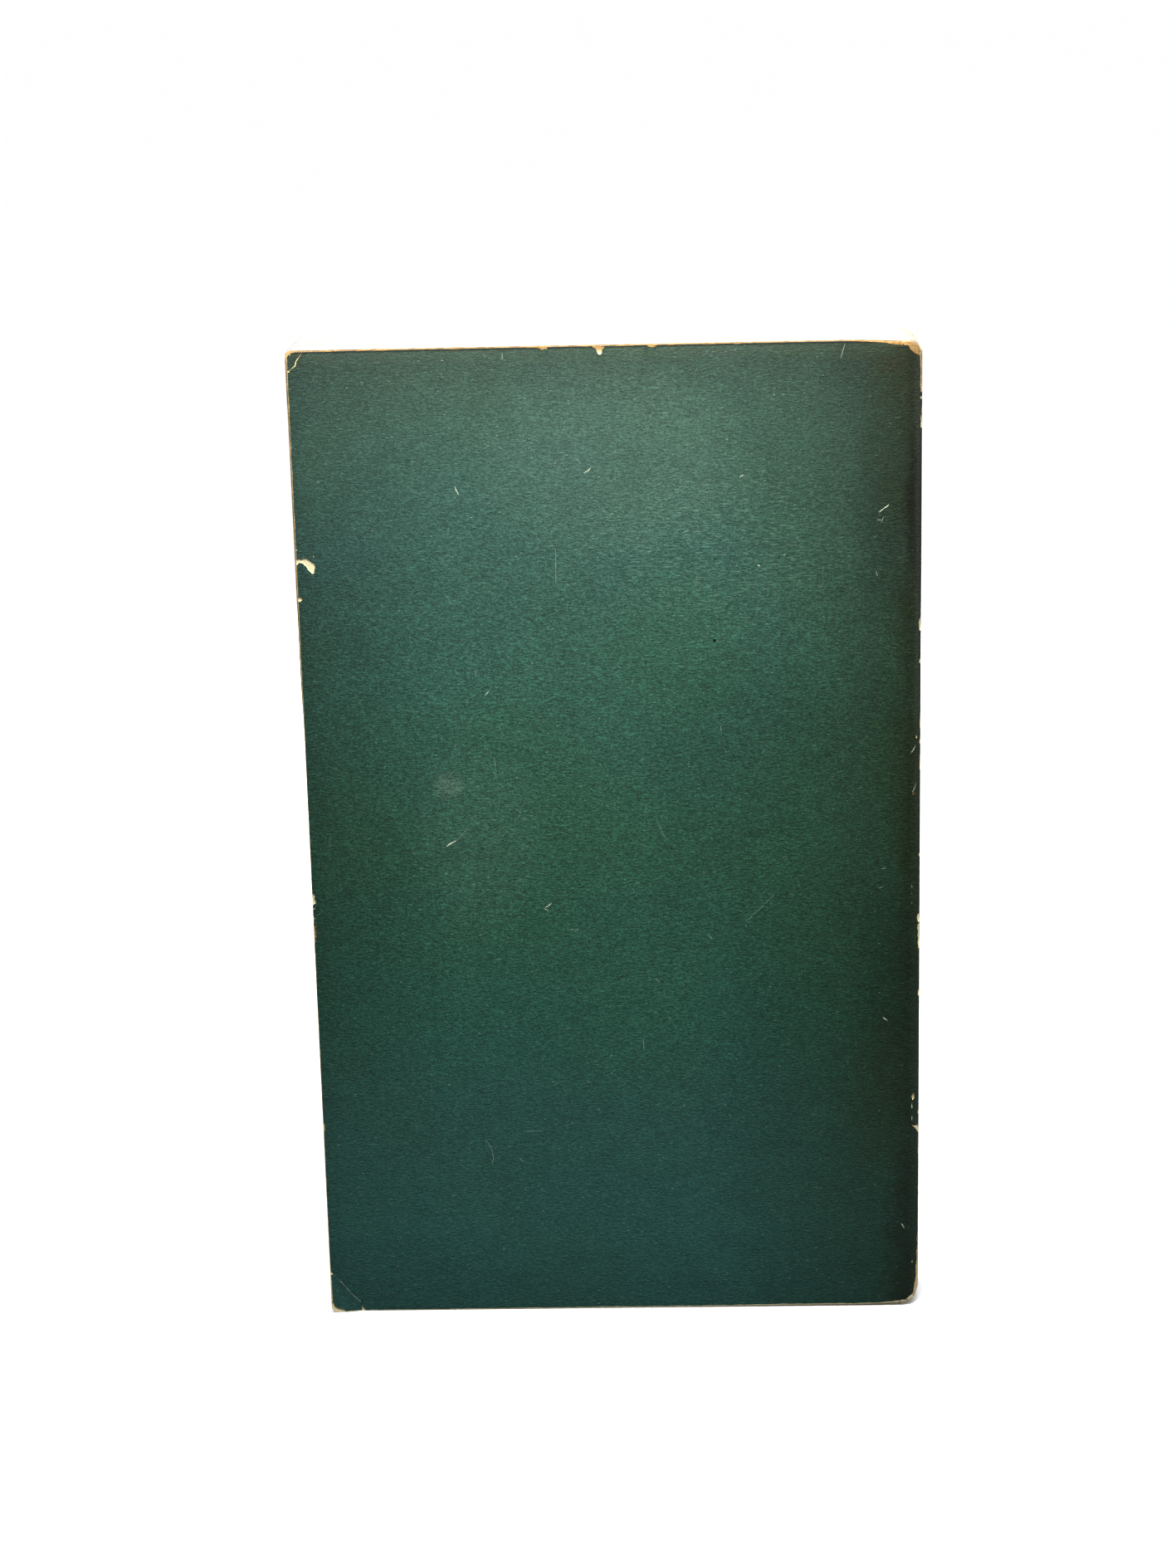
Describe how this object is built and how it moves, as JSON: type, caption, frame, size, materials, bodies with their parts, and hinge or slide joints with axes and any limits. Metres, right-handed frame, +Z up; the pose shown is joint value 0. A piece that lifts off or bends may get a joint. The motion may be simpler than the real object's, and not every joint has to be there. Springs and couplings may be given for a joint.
{
  "type": "paperback book",
  "caption": "Old small-format paperback book with a worn limp card cover, standing closed on its tail; both covers open on their spine folds.",
  "frame": {"origin": "on the tail, midway between fore-edge and spine and midway through the thickness", "axes": "+Z up the page height, +X towards the spine, -Y out of the worn back cover"},
  "size_m": [0.111, 0.018, 0.181],
  "materials": {
    "pages": "uncoated, toned with age at the edges",
    "glue": "hardened glue on open cotton cloth",
    "cover": "matt green printed card with a fibrous grain, rubbed at edges and corners"
  },
  "bodies": {
    "block": {"page_block": "pages", "spine_lining": "glue", "spine": "cover"},
    "back_cover": {"back_cover": "cover"},
    "front_cover": {"front_cover": "cover"}
  },
  "joints": [
    {"name": "back_cover_hinge", "type": "hinge", "parent": "block", "child": "back_cover", "pos_m": [0.0515, -0.00857, 0.09], "axis": [0, 0, 1], "range_deg": [0, 180]},
    {"name": "front_cover_hinge", "type": "hinge", "parent": "block", "child": "front_cover", "pos_m": [0.0515, 0.00857, 0.09], "axis": [0, 0, -1], "range_deg": [0, 180]}
  ]
}
